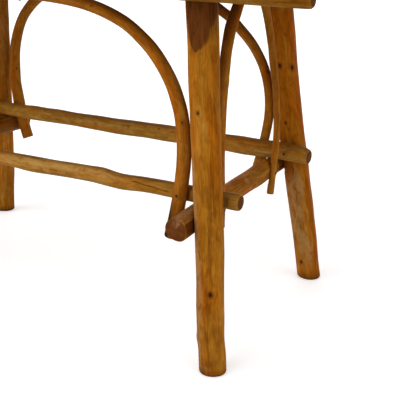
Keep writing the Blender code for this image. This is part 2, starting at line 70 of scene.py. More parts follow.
LEG_LEAN_LENGTH = 0.1327
LEG_LEAN_WIDTH = 0.1303
LEG_FOOT_RADIUS = 0.0275
LEG_TOP_RADIUS = 0.0312
LEG_BOW = 0.002
RAIL_FACET_LENGTH = 0.127
RAIL_FACET_DEPTH = 0.017
RAIL_LENGTH = 1.264
RAIL_RADIUS = 0.016
RAIL_PLANED_DEPTH = 0.002
LONG_STRETCHER_LENGTH = 1.014
LONG_STRETCHER_TAPER = 0.06
CROSSING_DEPTH = 0.0005
SHORT_STRETCHER_LENGTH = 0.536
SHORT_STRETCHER_RISE = 0.004
HEWN_END_LENGTH = 0.06
HEWN_END_DEPTH = 0.005
LEG_FLAT_MARGIN = 0.02
SHORT_ARCH_LEAN = 0.014
FOOT_DRAW = 1.6
CROWN_FLAT_DEPTH = 0.004
CROWN_FLAT_LENGTH = 0.36
NAIL_HEAD_HEIGHT = 0.0014
POLE_NAIL_BITE = 0.024
TWIG_NAIL_BITE = 0.016
LEG_PLACES = {
    "front_right": (1, -1), "back_right": (1, 1), "back_left": (-1, 1), "front_left": (-1, -1)}
LEG_GIRTHS = {"front_right": 0.97, "back_right": 1.05, "back_left": 1.0, "front_left": 1.02}
# Height, radius and rise of the long stretchers
LONG_STRETCHERS = {"front": (0.326, 0.016, 0.0015), "back": (0.339, 0.0192, -0.001)}
# Radii at the front and the back, depth of the seats on the legs, and overhang at the front
SHORT_STRETCHERS = {
    "right": ((0.0232, 0.0208), 0.003, 0.014),
    "left": ((0.0235, 0.0275), 0.001, 0.0),
}
# Spread, fullness and foot radius of either half, then widest height and foot height, and how
# far either foot stands off the pole beside it
LONG_ARCHES = {
    "front": (
        {1: (0.39, 2.6, 0.0143), -1: (0.39, 2.6, 0.0115)},
        (0.39, 0.237), {1: 0.0012, -1: 0.0012}),
    "back": (
        {1: (0.387, 2.4, 0.0112), -1: (0.381, 3.1, 0.015)},
        (0.41, 0.258), {1: 0.0135, -1: 0.0065}),
}
SHORT_ARCH = (
    {-1: (0.151, 2.0, 0.0112), 1: (0.142, 1.6, 0.0078)}, (0.4, 0.25), {-1: 0.0135, 1: 0.0183})

# Camera of the photograph
CAMERA_PLACE = Vector((1.1014, -1.5135, 0.8040))
CAMERA_TURN = math.radians(27.32)
CAMERA_PITCH = math.radians(18.12)
CAMERA_ROLL = math.radians(1.68)
CAMERA_LENS = 71.51
CAMERA_SENSOR = 36.0
VIEW_REACH = 200.0

# Light and ground
WHITE = (1.0, 1.0, 1.0, 1.0)
AMBIENT = 0.36
FLOOR_COLOUR = (0.86, 0.86, 0.86, 1.0)
FLOOR_GLOW = 0.43
FLOOR_RADIUS = 60.0
FLOOR_SIDES = 96
LAMP_SOFTNESS = math.radians(75.0)

# Dressed pieces: distance between rings, points in a ring, rounding of the ends and seeds
RING_STEP = 0.004
BOARD_RING_STEP = 0.006
LEG_SIDES = 96
POLE_SIDES = 72
TWIG_SIDES = 48
NAIL_SIDES = 20
BOARD_CORNER_POINTS = 6
BOARD_FACE_POINTS = 50
POLE_EASE = 0.005
TWIG_EASE = 0.003
BOARD_EASE = 0.004
EASE_PLACES = (0.0, 0.06, 0.2, 0.42, 0.7)
LEG_SEED = 11
POLE_SEED = 21
TWIG_SEED = 31
BOARD_SEED = 60
NAIL_SEED = 80
# Sizes of the rings that fill an end, and its marks: not hewn, not dark, end grain
END_RINGS = (0.8, 0.6, 0.4, 0.2)
END_GRAIN = (0.0, 0.0, 1.0)
SHARP_ANGLE = math.radians(48)
# Unit of the traits, and the bend of a stick that has none of its own
MM = 0.001
STRAIGHT = ((0, 0), (1, 0))
# Unevenness of peeled wood, as shares of its radius
GIRTH_CHANGE = 0.030
OVALNESS = 0.024
THREE_SIDEDNESS = 0.02
RIDGE_HEIGHT = 0.016
CROOKEDNESS = 0.05
# Depth of the planks' waves
BOARD_WAVE = 0.00035
BOARD_CUP = 0.0002
# Knots: height and reach of the swelling and the pit, and reach of the dark, by the knot's size
KNOT_STRETCH = 1.5
KNOT_FORM = ((0.32, 1.6), (-0.3, 0.5))
KNOT_DARK_REACH = 0.75
# Cracks: sideways wander in millimetres, share of the length to a tip, depth by the width
CRACK_WANDER = 0.6
CRACK_WAVE = 0.15
CRACK_TIP = 0.125
CRACK_DEPTH = 1.6
# Planed wood, bare where this much was cut off. Short flats and upper ones keep some stain.
LEAST_FACING = 0.05
BARE_DEPTH = 0.0006
STAINED_FLAT_LENGTH = 0.045
STAINED_FLAT_RISE = 0.7
STAINED_FLAT_BARE = 0.35
# Rounded ends: how fast and how far they darken, and how fast they turn to end grain
RIM_DARKENING = 0.7
RIM_DARK = 0.42
RIM_END_GRAIN = 1.6
# Flat and stain round a nail's head
NAIL_SEAT_RADIUS = 0.006
NAIL_SEAT_LIFT = 0.0004
NAIL_STAIN = 0.5
NAIL_STAIN_RADIUS = 0.0045
# Colour of the gloss
VARNISH_TINT = (1.0, 0.74, 0.46, 1.0)

LENGTHWISE = Vector((1.0, 0.0, 0.0))
CROSSWISE = Vector((0.0, 1.0, 0.0))
UPWARD = Vector((0.0, 0.0, 1.0))
UNDERSIDE = TOP_HEIGHT - BOARD_THICKNESS


# Construction: axes of the poles and twigs, the flats where they meet, and the nails

class Spot:
    """One place on a round piece: its axis point, the axis direction and the radius there."""

    def __init__(self, stick, centre, direction, radius):
        self.stick = stick
        self.centre = centre
        self.direction = direction.normalized()
        self.radius = radius


class Pole:
    """A nearly straight pole: its girth changes evenly and its axis bows a little."""

    def __init__(self, start, end, start_radius, end_radius, bow):
        self.start = start
        self.end = end
        self.start_radius = start_radius
        self.end_radius = end_radius
        self.bow = bow
        self.flats = []
        self.heads = []

    def centre(self, share):
        return self.start.lerp(self.end, share) + self.bow * math.sin(math.pi * share) ** 2

    def radius(self, share):
        return self.start_radius + (self.end_radius - self.start_radius) * share

    def spot_near(self, point):
        way = self.end - self.start
        share = (point - self.start).dot(way) / way.length_squared
        return Spot(self, self.centre(share), way, self.radius(share))


class Arch:
    """A bent twig: a superellipse above its widest height, drawn in towards its feet below."""

    def __init__(self, place, halves, crown_radius, crown, widest, foot_height, necks):
        self.place = place
        self.halves = halves
        self.crown_radius = crown_radius
        self.crown = crown
        self.widest = widest
        self.foot_height = foot_height
        self.necks = necks
        self.flats = []
        self.heads = []

    def radius(self, side, reach):
        spread, _, foot_radius = self.halves[side]
        return self.crown_radius + (foot_radius - self.crown_radius) * min(reach / spread, 1.0)

    def limb_reach(self, side, height):
        spread = self.halves[side][0]
        neck_height, neck_reach = self.necks[side]
        drop = max((self.widest - height) / (self.widest - neck_height), 0.0)
        return spread - (spread - neck_reach) * drop ** FOOT_DRAW

    def half_path(self, side, steps=400):
        """Axis points and radii of one half, from the crown down to the foot."""
        spread, fullness, _ = self.halves[side]
        path = []
        for step in range(steps + 1):
            turn = math.pi / 2 * step / steps
            rise = max(math.cos(turn), 0.0) ** (2 / fullness)
            height = self.widest + (self.crown - self.widest) * rise
            path.append((spread * math.sin(turn) ** (2 / fullness), height))
        for step in range(1, steps + 1):
            height = self.widest - (self.widest - self.foot_height) * step / steps
            path.append((self.limb_reach(side, height), height))
        points = [self.place(side * reach, height) for reach, height in path]
        return points, [self.radius(side, reach) for reach, height in path]

    def spot_at(self, side, height):
        reach = self.limb_reach(side, height)
        radius = self.radius(side, reach)
        centre = self.place(side * reach, height)
        above = self.place(side * self.limb_reach(side, height + radius / 2), height + radius / 2)
        return Spot(self, centre, above - centre, radius)

    def crown_spot(self):
        way = self.place(1.0, self.crown) - self.place(0.0, self.crown)
        return Spot(self, self.place(0.0, self.crown), way, self.crown_radius)


def flatten(spot, point, outward, half_length):
    """Notes a flat: its point, normal and direction along, and how far it goes along and beside."""
    along = (spot.direction - outward * spot.direction.dot(outward)).normalized()
    reach = (half_length, spot.radius + CUTTER_REACH)
    spot.stick.flats.append((point, outward.normalized(), along, reach))


def seat(first, second, first_margin=NOTCH_MARGIN):
    """Flats of two crossing pieces where they meet. Returns the meeting point and direction."""
    gap = second.centre - first.centre
    towards = gap.normalized()
    depth = first.radius + second.radius - gap.length
    point = first.centre + towards * (first.radius - depth / 2)
    half_gap = towards * (CLEARANCE / 2)
    flatten(first, point - half_gap, towards, second.radius + first_margin)
    flatten(second, point + half_gap, -towards, first.radius + NOTCH_MARGIN)
    return point, towards


def crossing(first, second):
    on_first, on_second = intersect_line_line(first.start, first.end, second.start, second.end)
    return first.spot_near(on_first), second.spot_near(on_second)


def seat_distance(first_radius, second_radius, depth=SEAT_DEPTH):
    return first_radius + second_radius - 2 * depth + CLEARANCE


def nail(name, meeting, through, bite):
    """Notes a nail: where its head bears, the way it is driven and how long it is."""
    point, direction = meeting
    grip = (point - through.centre).dot(direction) + through.radius - NAIL_HEAD_HEIGHT
    head = point - direction * grip
    nails[name] = (head, direction, grip + bite)
    through.stick.heads.append((head, -direction))


def leg_axis(key, height):
    along, across = LEG_PLACES[key]
    return Vector((
        along * (FOOT_HALF_LENGTH - LEG_LEAN_LENGTH * height),
        across * (FOOT_HALF_WIDTH - LEG_LEAN_WIDTH * height),
        height,
    ))


def plan_leg(key):
    girth = LEG_GIRTHS[key]
    slope = (LEG_TOP_RADIUS - LEG_FOOT_RADIUS) / TOP_HEIGHT
    return Pole(
        leg_axis(key, -CUTTER_REACH),
        leg_axis(key, TOP_HEIGHT),
        (LEG_FOOT_RADIUS - slope * CUTTER_REACH) * girth,
        LEG_TOP_RADIUS * girth,
        LENGTHWISE * (LEG_BOW * LEG_PLACES[key][0]),
    )


def hewn_facet(spot_deep, spot_runout, outward, depth):
    """Deepest point, direction and normal of a facet that runs out on the surface."""
    deep = spot_deep.centre + outward * (spot_deep.radius - depth)
    runout = spot_runout.centre + outward * spot_runout.radius
    along = (deep - runout).normalized()
    normal = (outward - along * outward.dot(along)).normalized()
    return deep, along, normal


def rail_facet(key):
    """Facet on a leg's outer side that its rail lies on."""
    head = legs[key].spot_near(leg_axis(key, UNDERSIDE))
    runout = legs[key].spot_near(head.centre - head.direction * RAIL_FACET_LENGTH)
    outward = CROSSWISE * LEG_PLACES[key][1]
    outward = (outward - head.direction * outward.dot(head.direction)).normalized()
    return hewn_facet(head, runout, outward, RAIL_FACET_DEPTH)


def rail_end(deep, along, normal):
    """Where a rail's axis passes a leg's facet."""
    stand_off = normal * (RAIL_RADIUS - SEAT_DEPTH + CLEARANCE)
    height = UNDERSIDE - CLEARANCE - RAIL_RADIUS + RAIL_PLANED_DEPTH
    return deep + stand_off + along * ((height - deep.z - stand_off.z) / along.z)


def pole_through(points, length, *shape):
    """Pole of a length whose axis runs through two points, with its middle midway."""
    middle = (points[0] + points[1]) / 2
    half = (points[1] - points[0]).normalized() * (length / 2)
    return Pole(middle - half, middle + half, *shape)


def plan_rail(label):
    keys = (label + "_left", label + "_right")
    facets = [rail_facet(key) for key in keys]
    ends = [rail_end(*facet) for facet in facets]
    rail = pole_through(ends, RAIL_LENGTH, RAIL_RADIUS, RAIL_RADIUS, Vector())
    middle = (ends[0] + ends[1]) / 2
    way = (ends[1] - ends[0]).normalized()
    top = Vector((middle.x, middle.y, UNDERSIDE - CLEARANCE))
    flatten(Spot(rail, middle, way, RAIL_RADIUS), top, UPWARD, RAIL_LENGTH)
    for key, (deep, along, normal), end in zip(keys, facets, ends):
        radius = legs[key].spot_near(deep).radius
        leg_spot = Spot(legs[key], deep, along, radius)
        flatten(leg_spot, deep, normal, RAIL_FACET_LENGTH + LEG_TOP_RADIUS)
        bearing = end - normal * (RAIL_RADIUS - SEAT_DEPTH)
        rail_spot = Spot(rail, end, way, RAIL_RADIUS)
        flatten(rail_spot, bearing, -normal, radius + NOTCH_MARGIN)
        nail("nail_rail_" + key, (bearing, -normal), rail_spot, POLE_NAIL_BITE)
    return rail


def plan_long_stretcher(label):
    height, radius, rise = LONG_STRETCHERS[label]
    ends = []
    for key in (label + "_left", label + "_right"):
        axis_point = leg_axis(key, height)
        leg_radius = legs[key].spot_near(axis_point).radius
        inward = CROSSWISE * -LEG_PLACES[key][1]
        ends.append(axis_point + inward * seat_distance(leg_radius, radius))
    taper = radius * LONG_STRETCHER_TAPER
    shape = (radius - taper, radius + taper, UPWARD * rise)
    return pole_through(ends, LONG_STRETCHER_LENGTH, *shape)


def plan_short_stretcher(label):
    radii, leg_depth, overhang = SHORT_STRETCHERS[label]
    front_reach = SHORT_STRETCHER_LENGTH / 2 + overhang
    length = SHORT_STRETCHER_LENGTH + overhang
    points = []
    for row, upper_pole in long_stretchers.items():
        key = f"{row}_{label}"
        side = LEG_PLACES[key][0]
        upper = upper_pole.spot_near(leg_axis(key, upper_pole.start.z))
        share = (front_reach + upper.centre.y) / length
        radius = radii[0] + (radii[1] - radii[0]) * share
        height = upper.centre.z - seat_distance(upper.radius, radius, CROSSING_DEPTH)
        leg = legs[key].spot_near(leg_axis(key, height))
        along = leg.centre.x - side * seat_distance(leg.radius, radius, leg_depth)
        risen = SHORT_STRETCHER_RISE * math.sin(math.pi * share) ** 2
        points.append(Vector((along, upper.centre.y, height - risen)))
    way = (points[1] - points[0]).normalized()
    start = (points[0] + points[1]) / 2 - way * front_reach
    return Pole(start, start + way * length, *radii, UPWARD * SHORT_STRETCHER_RISE)


def hew_ends(stretcher):
    for end, inner in ((stretcher.start, stretcher.end), (stretcher.end, stretcher.start)):
        way = (inner - end).normalized()
        deep = stretcher.spot_near(end)
        runout = stretcher.spot_near(end + way * HEWN_END_LENGTH)
        square = (UPWARD - way * UPWARD.dot(way)).normalized()
        point, along, normal = hewn_facet(deep, runout, square, HEWN_END_DEPTH)
        flatten(Spot(stretcher, point, along, deep.radius), point, normal, HEWN_END_LENGTH)


def join_stretchers():
    for row, long_pole in long_stretchers.items():
        for label, short_pole in short_stretchers.items():
            corner = f"{row}_{label}"
            for kind, inner, outer, margin in (
                    ("crossing", long_pole, short_pole, NOTCH_MARGIN),
                    ("long_stretcher", long_pole, legs[corner], NOTCH_MARGIN),
                    ("short_stretcher", short_pole, legs[corner], LEG_FLAT_MARGIN)):
                spots = crossing(inner, outer)
                nail(f"nail_{kind}_{corner}", seat(*spots, margin), spots[0], POLE_NAIL_BITE)


def mean_radius(halves):
    """Radius of an arch at its crown, midway between its feet's."""
    return (halves[1][2] + halves[-1][2]) / 2


def bend_arch(name, stretcher, place, halves, heights, insets, ends, bearing):
    """Arch between the poles beside its feet, nailed to its stretcher and under its bearing.

    An end is a side, its name, the spot on the pole beside the foot and the nail's height.
    """
    run = 0 if name.startswith("long") else 1
    necks = {}
    for side, _, beside, _ in ends:
        reach = abs(beside.centre[run]) - beside.radius - halves[side][2] - insets[side]
        necks[side] = (beside.centre.z, reach)
    arch = Arch(place, halves, mean_radius(halves), *heights, necks)
    for side, end, _, height in ends:
        limb = arch.spot_at(side, height)
        meeting = seat(limb, stretcher.spot_near(limb.centre))
        nail(f"nail_{name}_{end}", meeting, limb, TWIG_NAIL_BITE)
    crown_spot = arch.crown_spot()
    flatten(crown_spot, bearing, UPWARD, CROWN_FLAT_LENGTH / 2)
    nail(f"nail_{name}_crown", (bearing, UPWARD), crown_spot, TWIG_NAIL_BITE)
    return arch


def plan_long_arch(label, outward):
    halves, low_heights, insets = LONG_ARCHES[label]
    stretcher = long_stretchers[label]
    rail = rails[label]
    hold = stretcher.spot_near(Vector())
    rail_spot = rail.spot_near(Vector((0.0, rail.start.y, rail.start.z)))
    hold_depth = hold.centre.y + outward * seat_distance(hold.radius, mean_radius(halves))
    bearing = rail_spot.centre - UPWARD * (RAIL_RADIUS + CLEARANCE)
    crown = bearing.z - mean_radius(halves) + CROWN_FLAT_DEPTH
    slope = (rail_spot.centre.y - hold_depth) / (crown - hold.centre.z)

    def place(across, height):
        return Vector((across, hold_depth + slope * (height - hold.centre.z), height))

    ends = []
    for side, end in ((1, "right"), (-1, "left")):
        beside = short_stretchers[end].spot_near(CROSSWISE * hold_depth)
        ends.append((side, end, beside, hold.centre.z))
    sizes = (halves, (crown, *low_heights), insets)
    return bend_arch("long_arch_" + label, stretcher, place, *sizes, ends, bearing)


def plan_short_arch(label, side):
    halves, low_heights, insets = SHORT_ARCH
    stretcher = short_stretchers[label]
    hold = stretcher.spot_near(Vector())
    hold_depth = hold.centre.x + side * seat_distance(hold.radius, mean_radius(halves))
    crown = UNDERSIDE - CLEARANCE - mean_radius(halves) + CROWN_FLAT_DEPTH
    slope = -side * SHORT_ARCH_LEAN / (crown - hold.centre.z)

    def place(across, height):
        return Vector((hold_depth + slope * (height - hold.centre.z), across, height))

    ends = []
    for way, end in ((-1, "front"), (1, "back")):
        spread = halves[way][0]
        height = stretcher.spot_near(CROSSWISE * (way * spread)).centre.z
        ends.append((way, end, long_stretchers[end].spot_near(hold.centre), height))
    sizes = (halves, (crown, *low_heights), insets)
    bearing = place(0.0, crown)
    bearing.z = UNDERSIDE - CLEARANCE
    return bend_arch("short_arch_" + label, stretcher, place, *sizes, ends, bearing)


# Materials

class Nodes:
    """A node tree under construction, with short calls for the nodes that it needs."""

    def __init__(self, tree):
        self.tree = tree

    def feed(self, node, inputs):
        """Links or sets a node's sockets, given by their names or numbers."""
        for key, value in inputs.items():
            if isinstance(value, bpy.types.NodeSocket):
                self.tree.links.new(value, node.inputs[key])
            else:
                node.inputs[key].default_value = value

    def node(self, kind, output, inputs, **settings):
        """One output of a new node."""
        made = self.tree.nodes.new("ShaderNode" + kind)
        for key, value in settings.items():
            setattr(made, key, value)
        self.feed(made, inputs)
        return made.outputs[output]

    def attribute(self, name, output="Vector"):
        return self.node("Attribute", output, {}, attribute_name=name)

    def split(self, vector):
        return self.node("SeparateXYZ", 0, {0: vector}).node.outputs

    def math(self, operation, *values):
        return self.node("Math", 0, dict(enumerate(values)), operation=operation)

    def times(self, first, second):
        return self.math("MULTIPLY", first, second)

    def times_add(self, first, second, third):
        return self.math("MULTIPLY_ADD", first, second, third)

    def noise(self, vector, scales, detail=4.0, roughness=0.55, distortion=0.0):
        """Noise with one scale across the wood and one along it."""
        across, along = scales
        scaled = self.node("Mapping", 0, {"Vector": vector, "Scale": (across, across, along)})
        return self.node("TexNoise", "Fac", {
            "Vector": scaled, "Scale": 1.0, "Detail": detail, "Roughness": roughness,
            "Distortion": distortion})

    def band(self, value, low, high):
        """Smooth step of a value from 0 at low to 1 at high."""
        inputs = {"Value": value, "From Min": low, "From Max": high}
        return self.node("MapRange", "Result", inputs, interpolation_type="SMOOTHSTEP")

    def ramp(self, value, *stops):
        colour = self.node("ValToRGB", "Color", {"Fac": value})
        elements = colour.node.color_ramp.elements
        while len(elements) < len(stops):
            elements.new(0.5)
        for element, (place, tone) in zip(elements, stops):
            element.position = place
            element.color = (*tone, 1.0)
        return colour

    def mix(self, share, first, second, blend="MIX"):
        """Colour between two, of which the second may be written as three numbers."""
        if isinstance(second, tuple):
            second = (*second, 1.0)
        inputs = {0: share, 6: first, 7: second}
        return self.node("Mix", 2, inputs, data_type="RGBA", blend_type=blend)

    def tint(self, colour, tone):
        return self.mix(1.0, colour, tone, "MULTIPLY")

    def bump(self, height, strength, distance):
        inputs = {"Height": height, "Strength": strength, "Distance": distance}
        return self.node("Bump", "Normal", inputs)


class Finish(Nodes):
    """A material under construction."""

    def __init__(self, name):
        self.material = bpy.data.materials.new(name)
        self.material.use_nodes = True
        super().__init__(self.material.node_tree)

    def shaded(self, inputs):
        """The material, with the given inputs of its shader."""
        self.feed(self.tree.nodes["Principled BSDF"], inputs)
        return self.material


def wood_finish(name, palette, roughness, ring_rate=3400.0, ring_share=0.0):
    """Varnished wood: broad tones, long streaks, flecks, knots, cut faces, worn rims and rings,
    with painted shade and painted highlights.

    The grain attribute holds the wood straightened along Z. The marks attribute holds how far
    the surface is hewn, partly a painted shadow of the top, how dark it is from knots, cracks,
    stains and painted shade, and end grain. The wear attribute is high on rims, worn spots and
    painted highlights.
    """
    finish = Finish(name)
    band, times, times_add = finish.band, finish.times, finish.times_add
    grain = finish.attribute("grain")
    hewn, dark, end = finish.split(finish.attribute("marks"))
    wear = finish.attribute("wear", "Fac")
    across, beside = finish.split(grain)[:2]

    broad = finish.noise(grain, (26.0, 3.0), 2.0, 0.5, 0.5)
    hue = finish.noise(grain, (48.0, 6.0), 3.0, 0.55, 0.6)
    streaks = finish.noise(grain, (170.0, 8.0), 5.0, 0.62, 0.6)
    fibres = finish.noise(grain, (800.0, 28.0), 3.0, 0.6)
    flecks = finish.noise(grain, (360.0, 50.0), 2.0, 0.5)
    mottle = finish.noise(grain, (85.0, 34.0), 3.0, 0.6, 0.8)
    wobble = finish.noise(grain, (40.0, 3.0))

    # Tone of the grown surface
    tone = times_add(broad, 0.45, times(streaks, 0.55))
    colour = finish.ramp(
        tone, (0.36, palette["deep"]), (0.46, palette["mid"]), (0.53, palette["mid"]),
        (0.64, palette["pale"]))
    ruddy = finish.ramp(hue, (0.42, (1.0, 1.04, 1.15)), (0.62, (1.02, 0.8, 0.5)))
    colour = finish.tint(colour, ruddy)
    pits = times(band(flecks, 0.6, 0.76), 0.45)
    colour = finish.mix(times(band(streaks, 0.54, 0.74), 0.34), colour, palette["streak"])
    colour = finish.mix(pits, colour, palette["streak"])
    fibre_tone = finish.ramp(fibres, (0.3, (0.8, 0.78, 0.74)), (0.7, (1.15, 1.14, 1.1)))
    mottle_tone = finish.ramp(mottle, (0.34, (0.8, 0.74, 0.66)), (0.66, (1.2, 1.22, 1.24)))
    colour = finish.tint(finish.tint(colour, fibre_tone), mottle_tone)

    # Growth rings
    radius = finish.math("SQRT", times_add(across, across, times(beside, beside)))
    rings = times(finish.math("ADD", radius, times(wobble, 0.02)), ring_rate)
    ring_line = band(finish.math("SINE", rings), -0.2, 0.95)
    if ring_share:
        colour = finish.mix(times(ring_line, ring_share), colour, palette["streak"])

    # Hewn faces with ragged edges, end grain, and pale rubbed rims, scuffs and painted highlights
    cut_tone = finish.ramp(streaks, (0.35, palette["cut_dark"]), (0.65, palette["cut"]))
    ragged = times_add(mottle, 0.7, finish.math("SUBTRACT", hewn, 0.35))
    ragged = times(band(ragged, 0.2, 0.7), band(hewn, 0.0, 0.3))
    colour = finish.mix(times(ragged, 0.92), colour, cut_tone)
    end_tone = finish.ramp(ring_line, (0.0, palette["end"]), (1.0, palette["end_dark"]))
    colour = finish.mix(band(end, 0.3, 0.8), colour, finish.tint(end_tone, mottle_tone))
    lightened = times(band(wear, 0.1, 0.9), band(mottle, 0.22, 0.7))
    colour = finish.mix(times(lightened, 0.7), colour, palette["worn_and_highlight"])

    # Knots, cracks, stains and painted shade, each in a halo
    colour = finish.mix(times(band(dark, 0.04, 0.5), 0.6), colour, palette["halo"])
    colour = finish.mix(band(dark, 0.45, 0.9), colour, palette["knot"])

    relief = times_add(streaks, 0.7, times(fibres, 0.4))
    gloss = times_add(streaks, 0.24, roughness - 0.12)
    return finish.shaded({
        "Base Color": colour,
        "Roughness": times_add(end, 0.2, gloss),
        "Normal": finish.bump(finish.math("SUBTRACT", relief, pits), 0.35, 0.0007),
        "Specular IOR Level": 0.015,
        "Specular Tint": VARNISH_TINT,
    })


def iron_finish():
    """Dark nail iron with brown rust in its dents."""
    finish = Finish("aged_iron")
    place = finish.node("TexCoord", "Object", {})
    grains = finish.noise(place, (900.0, 900.0), 5.0, 0.65)
    patches = finish.noise(place, (260.0, 260.0), 3.0, 0.5)
    colour = finish.ramp(
        patches, (0.35, (0.035, 0.017, 0.009)), (0.55, (0.06, 0.026, 0.011)),
        (0.75, (0.11, 0.045, 0.016)))
    return finish.shaded({
        "Base Color": finish.mix(finish.times(grains, 0.5), colour, (0.04, 0.025, 0.018)),
        "Roughness": finish.times_add(grains, 0.4, 0.4),
        "Metallic": finish.times(finish.band(patches, 0.62, 0.4), 0.15),
        "Normal": finish.bump(grains, 0.5, 0.0004),
        "Specular IOR Level": 0.03,
        "Specular Tint": VARNISH_TINT,
    })


# Meshes

def put(name, data):
    """New object in the scene."""
    made = bpy.data.objects.new(name, data)
    bpy.context.scene.collection.objects.link(made)
    return made


def skin(name, rings, material, **layers):
    """Closed mesh over rings of points, with its ends filled by rings that shrink to a point.

    The layers are attributes, with a row of values for each ring.
    """
    sides = rings.shape[1]
    shares = np.array(END_RINGS)[:, None, None]
    end_size = len(END_RINGS) * sides + 1

    def closed(rows):
        """Values for one end's middle, its rings, the piece's rings and the other end."""
        low, high = (end.mean(1, keepdims=True) for end in (rows[:1], rows[-1:]))
        body = [low + (rows[:1] - low) * shares[::-1], rows, high + (rows[-1:] - high) * shares]
        body = np.concatenate(body).reshape(-1, rows.shape[-1])
        return np.concatenate([low[0], body, high[0]])

    points = closed(rings)
    around = np.arange(sides)
    following = (around + 1) % sides
    last = len(points) - 1 - sides
    pairs = list(zip(around, following))
    faces = [(0, 1 + second, 1 + first) for first, second in pairs]
    for near in range(1, last, sides):
        far = near + sides
        corners = [near + around, near + following, far + following, far + around]
        faces.extend(np.stack(corners, 1).tolist())
    faces.extend((last + first, last + second, last + sides) for first, second in pairs)
    mesh = bpy.data.meshes.new(name)
    mesh.from_pydata(points, [], faces)
    for label, rows in layers.items():
        values = closed(rows)
        if label == "marks":
            values[:end_size] = values[-end_size:] = END_GRAIN
        kind, field = ("FLOAT", "value") if label == "wear" else ("FLOAT_VECTOR", "vector")
        layer = mesh.attributes.new(label, kind, "POINT")
        layer.data.foreach_set(field, values.astype(np.float32).ravel())
    shape = bmesh.new()
    shape.from_mesh(mesh)
    bmesh.ops.recalc_face_normals(shape, faces=shape.faces)
    shape.to_mesh(mesh)
    shape.free()
    mesh.shade_smooth()
    mesh.set_sharp_from_angle(angle=SHARP_ANGLE)
    mesh.materials.append(material)
    return put(name, mesh)


def dress(piece, node):
    """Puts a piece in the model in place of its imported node."""
    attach(piece, "root")
    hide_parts(node)


def limited(values):
    """Values held between 0 and 1."""
    return np.clip(values, 0.0, 1.0)


def waves(draw, along, lengths):
    """Smooth random wave along a piece, about 1 high, made of one sine for each wavelength."""
    total = np.zeros_like(along)
    for length in lengths:
        phase = draw.uniform(0, 2 * math.pi)
        total += np.sin(2 * math.pi * along / length + phase) * draw.uniform(0.5, 1.0)
    return total / len(lengths)


def end_spacing(length, step, ease):
    """Places of the rings along a piece: even in the middle, close where the ends are eased."""
    ease_places = ease * np.array(EASE_PLACES)
    middle = np.linspace(ease, length - ease, max(int(length / step), 2))
    return np.concatenate([ease_places, middle, (length - ease_places)[::-1]])


def ease_drop(places, length, ease):
    """How far a rounded end draws the surface in, by distance from the nearer end."""
    depth = limited(1 - np.minimum(places, length - places) / ease)
    return ease * (1 - np.sqrt(limited(1 - depth ** 2)))


def arc(angle, turn, radius):
    """Distance round a stick from a turn in degrees."""
    return radius * ((angle - np.radians(turn) + math.pi) % (2 * math.pi) - math.pi)


def bent(places, stops):
    """Sideways offsets along a stick, eased from stop to stop. A stop is a place and an offset."""
    stop_places, offsets = np.array(stops, float).T
    left = np.clip(np.searchsorted(stop_places, places, side="right") - 1, 0, len(stops) - 2)
    share = limited((places - stop_places[left]) / (stop_places[left + 1] - stop_places[left]))
    share = share * share * (3 - 2 * share)
    return offsets[left] * (1 - share) + offsets[left + 1] * share


def natural_height(draw, along, angle, radius):
    """Height of a peeled pole's surface over the true round."""
    height = GIRTH_CHANGE * waves(draw, along, (0.55, 0.23, 0.11))
    turn = 2.0 * waves(draw, along, (1.1, 0.5))
    height = height + OVALNESS * waves(draw, along, (0.9, 0.4)) * np.cos(2 * angle + turn)
    turn = draw.uniform(0, 6) + 1.5 * waves(draw, along, (0.6,))
    height = height + THREE_SIDEDNESS * np.cos(3 * angle + turn)
    for ridges in (7, 11, 17):
        turn = draw.uniform(0, 6) + 2.0 * waves(draw, along, (0.7, 0.3))
        ridge = waves(draw, along, (0.35, 0.16)) * np.cos(ridges * angle + turn)
        height = height + RIDGE_HEIGHT / math.sqrt(ridges) * ridge
    for axis in (np.cos(angle), np.sin(angle)):
        height = height + CROOKEDNESS * waves(draw, along, (0.8, 0.36, 0.2)) * axis
    return height * radius


def add_bumps(bumps, along, angle, radius):
    """Swellings, dents or marks, each a place, an angle, a length, a width and a height."""
    height = np.zeros(along.shape)
    for place, turn, length, width, rise in bumps:
        across = arc(angle, turn, radius)
        height += rise * np.exp(-((along - place) / length) ** 2 - (across / width) ** 2)
    return height


def add_knots(knots, along, angle, radius):
    """Height and darkness of knots, each given by its place along, its angle and its size."""
    height = np.zeros(along.shape)
    dark = np.zeros(along.shape)
    for place, turn, size in knots:
        reach = np.hypot((along - place) / KNOT_STRETCH, arc(angle, turn, radius)) / size
        for share, spread in KNOT_FORM:
            height += share * size * np.exp(-(reach / spread) ** 2)
        dark = np.maximum(dark, np.exp(-(reach / KNOT_DARK_REACH) ** 2))
    return height, dark


def add_cracks(cracks, along, angle, radius):
    """Depth and darkness of drying cracks, each from one place and angle to another."""
    depth = np.zeros(along.shape)
    dark = np.zeros(along.shape)
    for (start, start_turn), (stop, stop_turn), width in cracks:
        share = (along - start) / (stop - start)
        turn = start_turn + (stop_turn - start_turn) * share
        across = arc(angle, turn, radius) + CRACK_WANDER * np.sin(CRACK_WAVE * along)
        inside = limited(np.minimum(share, 1 - share) / CRACK_TIP)
        line = inside * np.exp(-(across / width) ** 2)
        depth = np.maximum(depth, CRACK_DEPTH * width * line)
        dark = np.maximum(dark, line)
    return depth, dark


class Course:
    """The rings of a stick: centres, two square directions, axes, radii and places along."""

    def __init__(self, centres, directions, radii, places, ease):
        self.centres = np.array(centres)
        self.across, self.upward, self.axes = (
            np.broadcast_to(direction, self.centres.shape) for direction in directions)
        self.radii = np.array(radii)
        self.places = places
        self.ease = ease


def straight_course(pole, places, shares, across, upward):
    """Rings of a pole at shares of its length."""
    centres = [pole.centre(share) for share in shares]
    radii = [pole.radius(share) for share in shares]
    axis = (pole.end - pole.start).normalized()
    return Course(centres, (across, upward, axis), radii, places, POLE_EASE)


